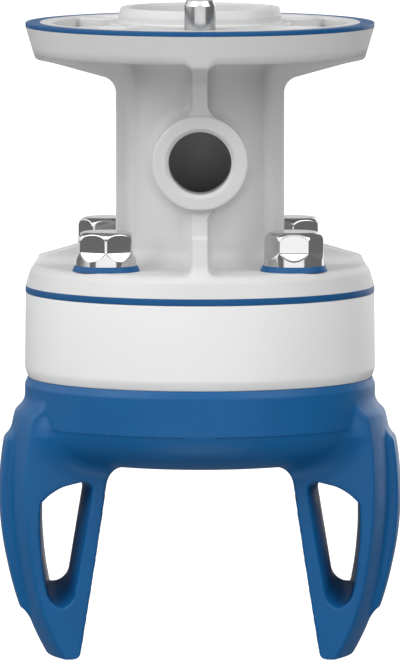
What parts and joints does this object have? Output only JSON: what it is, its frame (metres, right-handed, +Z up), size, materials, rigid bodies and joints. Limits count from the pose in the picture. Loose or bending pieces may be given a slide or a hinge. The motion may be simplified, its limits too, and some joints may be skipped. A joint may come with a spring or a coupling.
{
  "type": "pneumatic soft gripper",
  "caption": "Pneumatic gripper with two soft silicone fingers under a ribbed adapter for a robot tool flange; air through a side port swings the fingers.",
  "frame": {"origin": "centre of the robot flange's mating face, on the column's axis", "axes": "+Z up into the robot, X along the fingers' opening direction, -Y towards the air port and the locating pin"},
  "size_m": [0.0774, 0.0678, 0.1277],
  "materials": {
    "housing_plastic": "satin light grey moulding",
    "ring_plastic": "satin white moulding",
    "seal_rubber": "matte blue",
    "silicone": "matte blue, slightly translucent",
    "polished_steel": "polished",
    "plate_aluminium": "turned",
    "insert_brass": "turned"
  },
  "bodies": {
    "housing": {"adapter_housing": "housing_plastic", "clamp_ring": "ring_plastic", "flange_seal": "seal_rubber", "housing_seal": "seal_rubber", "locating_pin": "polished_steel", "retaining_clip": "polished_steel", "support_band": "polished_steel", "stop_plate": "plate_aluminium", "silicone_collar": "silicone", "bowl_membrane": "silicone", "bolt_front_left": "polished_steel", "bolt_seal_front_left": "seal_rubber", "threaded_insert_front_left": "insert_brass", "bolt_front_right": "polished_steel", "bolt_seal_front_right": "seal_rubber", "threaded_insert_front_right": "insert_brass", "bolt_rear_left": "polished_steel", "bolt_seal_rear_left": "seal_rubber", "threaded_insert_rear_left": "insert_brass", "bolt_rear_right": "polished_steel", "bolt_seal_rear_right": "seal_rubber", "threaded_insert_rear_right": "insert_brass"},
    "finger_left": {"finger_left": "silicone"},
    "finger_right": {"finger_right": "silicone"},
    "diaphragm": {"pull_plate": "plate_aluminium"}
  },
  "joints": [
    {"name": "finger_left_swing", "type": "hinge", "parent": "housing", "child": "finger_left", "pos_m": [-0.0325, 0, -0.083], "axis": [0, -1, 0], "range_deg": [-4, 16], "stiffness_Nm_per_rad": 1.6},
    {"name": "finger_right_swing", "type": "hinge", "parent": "housing", "child": "finger_right", "pos_m": [0.0325, 0, -0.083], "axis": [0, 1, 0], "range_deg": [-4, 16]},
    {"name": "diaphragm_stroke", "type": "slide", "parent": "housing", "child": "diaphragm", "axis": [0, 0, 1], "range_m": [-0.0012, 0.0048], "stiffness_N_per_m": 0.2, "springref_m": 0.104, "deforming": ["bowl_membrane"]}
  ],
  "couplings": [
    {"joint": "finger_right_swing", "follows": "finger_left_swing", "ratio": 1},
    {"joint": "diaphragm_stroke", "follows": "finger_left_swing", "m_per_rad": 0.0168}
  ]
}
